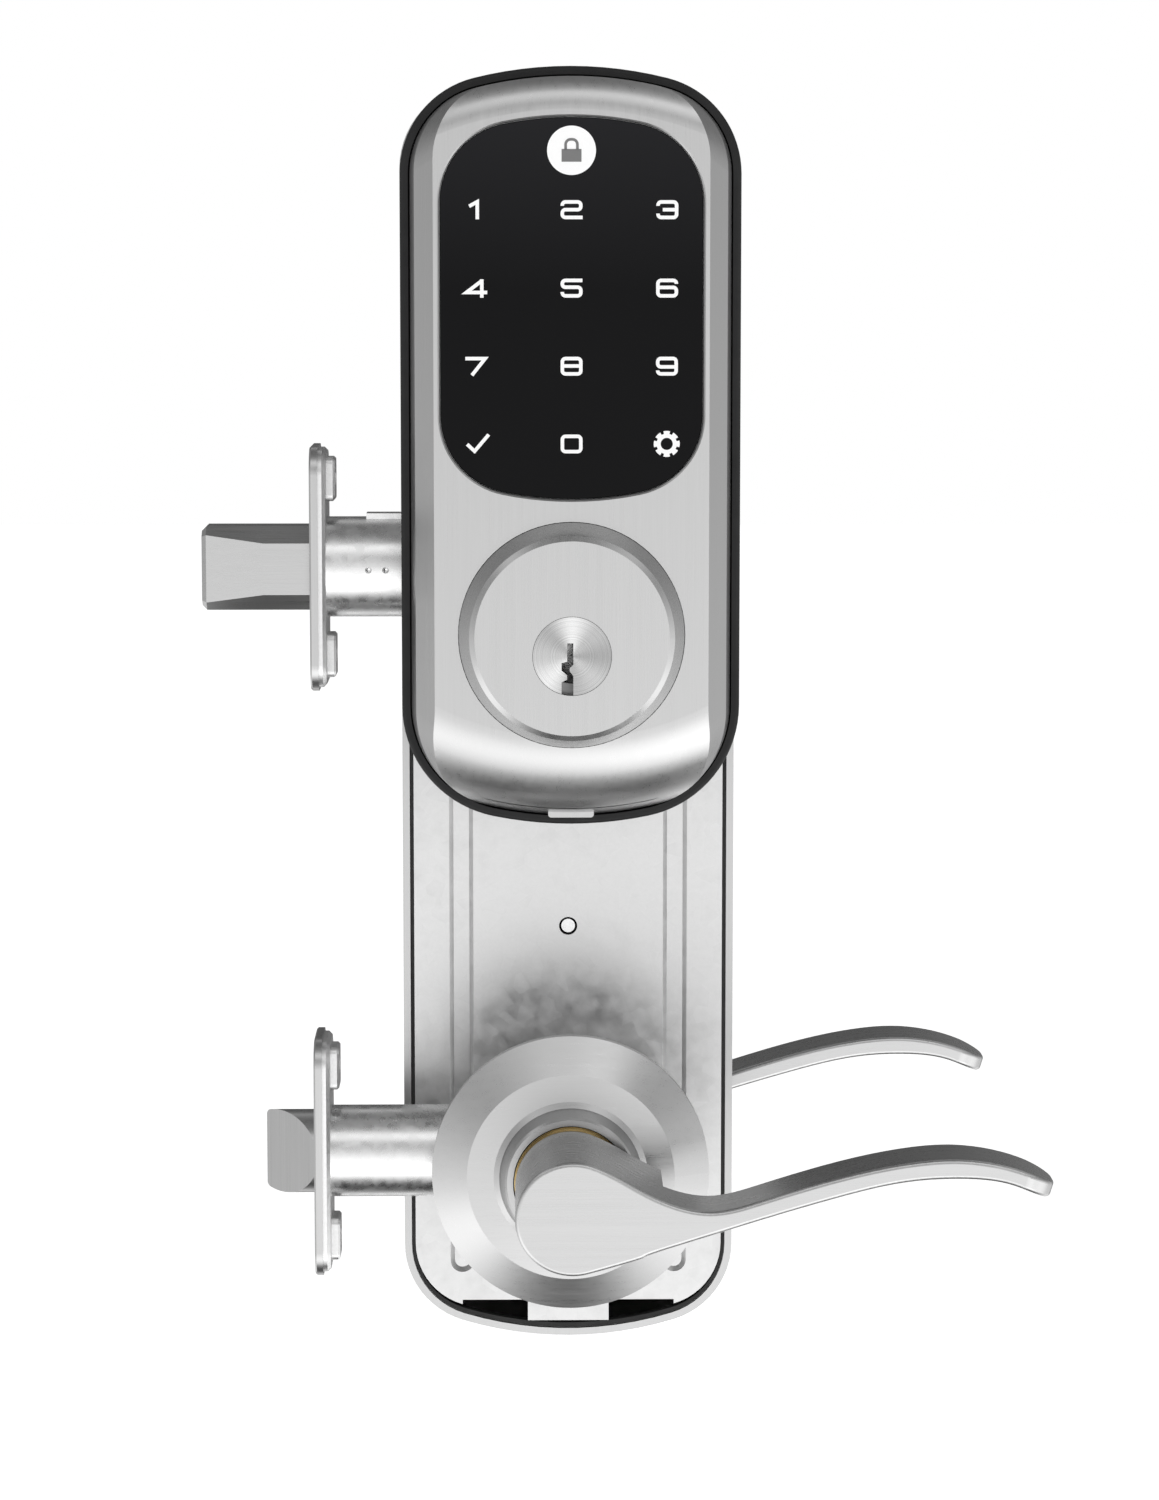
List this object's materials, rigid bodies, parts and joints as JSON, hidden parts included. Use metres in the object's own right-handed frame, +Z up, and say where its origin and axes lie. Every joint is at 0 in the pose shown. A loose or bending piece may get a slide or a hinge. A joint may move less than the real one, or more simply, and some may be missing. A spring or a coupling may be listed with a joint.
{
  "type": "interconnected keypad door lock",
  "caption": "Keypad entry lock for a door: touch panel and key cylinder over a waved lever outside, long housing with thumbturn and lever inside, deadbolt and spring latch in the door's edge.",
  "frame": {"origin": "on the lever and latch axis, at the middle of the door's thickness", "axes": "+X along the door's face away from its edge, +Y through the door from outside to inside, +Z up"},
  "size_m": [0.1931, 0.1592, 0.3069],
  "materials": {
    "satin_nickel": "satin",
    "black_base": "matte",
    "black_rubber": "matte",
    "black_lens": "gloss",
    "galvanised": "satin",
    "zinc_plate": "satin",
    "brass": "satin",
    "steel": "satin",
    "spring_steel": "bright",
    "board": "matte",
    "socket_plastic": "matte",
    "gear_plastic": "matte",
    "cell_sleeve": "gloss"
  },
  "bodies": {
    "lock": {"battery_1": "cell_sleeve", "battery_2": "cell_sleeve", "battery_3": "cell_sleeve", "battery_4": "cell_sleeve", "battery_contacts": "brass", "battery_tray": "black_base", "control_board": "board", "cylinder_body": "brass", "cylinder_guard": "satin_nickel", "cylinder_screws": "steel", "deadbolt_backplate": "zinc_plate", "deadbolt_case": "zinc_plate", "deadbolt_faceplate": "satin_nickel", "deadbolt_tube": "zinc_plate", "driver_pins": "brass", "exterior_bushing": "brass", "exterior_lever_spring": "spring_steel", "gear_chassis": "socket_plastic", "harness_sockets": "socket_plastic", "housing_screw": "steel", "interior_escutcheon": "satin_nickel", "interior_gasket": "black_rubber", "interior_plate": "galvanised", "keypad_backplate": "galvanised", "keypad_base": "black_base", "keypad_cover": "satin_nickel", "keypad_gasket": "black_rubber", "latch_backplate": "zinc_plate", "latch_case": "zinc_plate", "latch_faceplate": "satin_nickel", "latch_spring": "spring_steel", "latch_tube": "zinc_plate", "motor": "steel", "pin_springs": "spring_steel", "rose": "satin_nickel", "rose_liner": "zinc_plate", "through_bolts": "steel", "touch_board": "board", "touchscreen_lens": "black_lens"},
    "thumbturn": {"thumbturn": "satin_nickel", "drive_gear": "gear_plastic", "tailpiece": "steel", "deadbolt_hub": "steel"},
    "bolt": {"deadbolt_bolt": "satin_nickel", "deadbolt_tail": "steel"},
    "key": {"key_plug": "satin_nickel", "key_pins": "brass"},
    "idler": {"idler_gear": "gear_plastic"},
    "pinion": {"motor_pinion": "gear_plastic"},
    "outside_lever": {"exterior_lever": "satin_nickel", "exterior_spindle": "steel"},
    "latch_hub": {"latch_retractor": "steel"},
    "latch": {"latch_bolt": "satin_nickel", "latch_tail": "steel"},
    "inside_lever": {"interior_lever": "satin_nickel", "interior_spindle": "steel", "lever_cam": "steel"},
    "slide": {"interconnect_slide": "steel"},
    "retract_gear": {"retract_pinion": "gear_plastic"},
    "battery_cover": {"battery_cover": "satin_nickel"}
  },
  "joints": [
    {"name": "thumbturn_turn", "type": "hinge", "parent": "lock", "child": "thumbturn", "pos_m": [0, 0.06, 0.124], "axis": [0, 1, 0], "range_deg": [0, 90]},
    {"name": "bolt_throw", "type": "slide", "parent": "lock", "child": "bolt", "axis": [1, 0, 0], "range_m": [0, 0.0254]},
    {"name": "key_turn", "type": "hinge", "parent": "lock", "child": "key", "pos_m": [0, -0.045, 0.124], "axis": [0, 1, 0], "range_deg": [0, 90]},
    {"name": "idler_turn", "type": "hinge", "parent": "lock", "child": "idler", "pos_m": [0.01543, 0.047, 0.14239], "axis": [0, 1, 0], "range_deg": [-270, 0]},
    {"name": "pinion_turn", "type": "hinge", "parent": "lock", "child": "pinion", "pos_m": [0.00305, 0.049, 0.15476], "axis": [0, 1, 0], "range_deg": [0, 1080]},
    {"name": "exterior_lever_turn", "type": "hinge", "parent": "lock", "child": "outside_lever", "pos_m": [0, -0.04, 0], "axis": [0, 1, 0], "range_deg": [0, 60], "stiffness_Nm_per_rad": 1.5, "springref_deg": -28.65},
    {"name": "latch_hub_turn", "type": "hinge", "parent": "lock", "child": "latch_hub", "pos_m": [0, 0, 0], "axis": [0, 1, 0], "range_deg": [0, 60]},
    {"name": "latch_throw", "type": "slide", "parent": "lock", "child": "latch", "axis": [1, 0, 0], "range_m": [0, 0.012]},
    {"name": "interior_lever_turn", "type": "hinge", "parent": "lock", "child": "inside_lever", "pos_m": [0, 0.06, 0], "axis": [0, 1, 0], "range_deg": [0, 60], "stiffness_Nm_per_rad": 1.5, "springref_deg": -28.65},
    {"name": "slide_travel", "type": "slide", "parent": "lock", "child": "slide", "axis": [0, 0, -1], "range_m": [0, 0.011]},
    {"name": "retract_gear_turn", "type": "hinge", "parent": "lock", "child": "retract_gear", "pos_m": [0, 0.03, 0.124], "axis": [0, 1, 0], "range_deg": [0, 90]},
    {"name": "battery_cover_slide", "type": "slide", "parent": "lock", "child": "battery_cover", "axis": [0, 0, 1], "range_m": [0, 0.04]}
  ],
  "couplings": [
    {"joint": "bolt_throw", "follows": "thumbturn_turn", "m_per_rad": 0.01617},
    {"joint": "key_turn", "follows": "thumbturn_turn", "ratio": 1},
    {"joint": "idler_turn", "follows": "thumbturn_turn", "ratio": -3},
    {"joint": "pinion_turn", "follows": "thumbturn_turn", "ratio": 12},
    {"joint": "latch_hub_turn", "follows": "exterior_lever_turn", "ratio": 1},
    {"joint": "latch_throw", "follows": "exterior_lever_turn", "m_per_rad": 0.011459},
    {"joint": "slide_travel", "follows": "interior_lever_turn", "m_per_rad": 0.0105},
    {"joint": "retract_gear_turn", "follows": "interior_lever_turn", "ratio": 1.5}
  ]
}
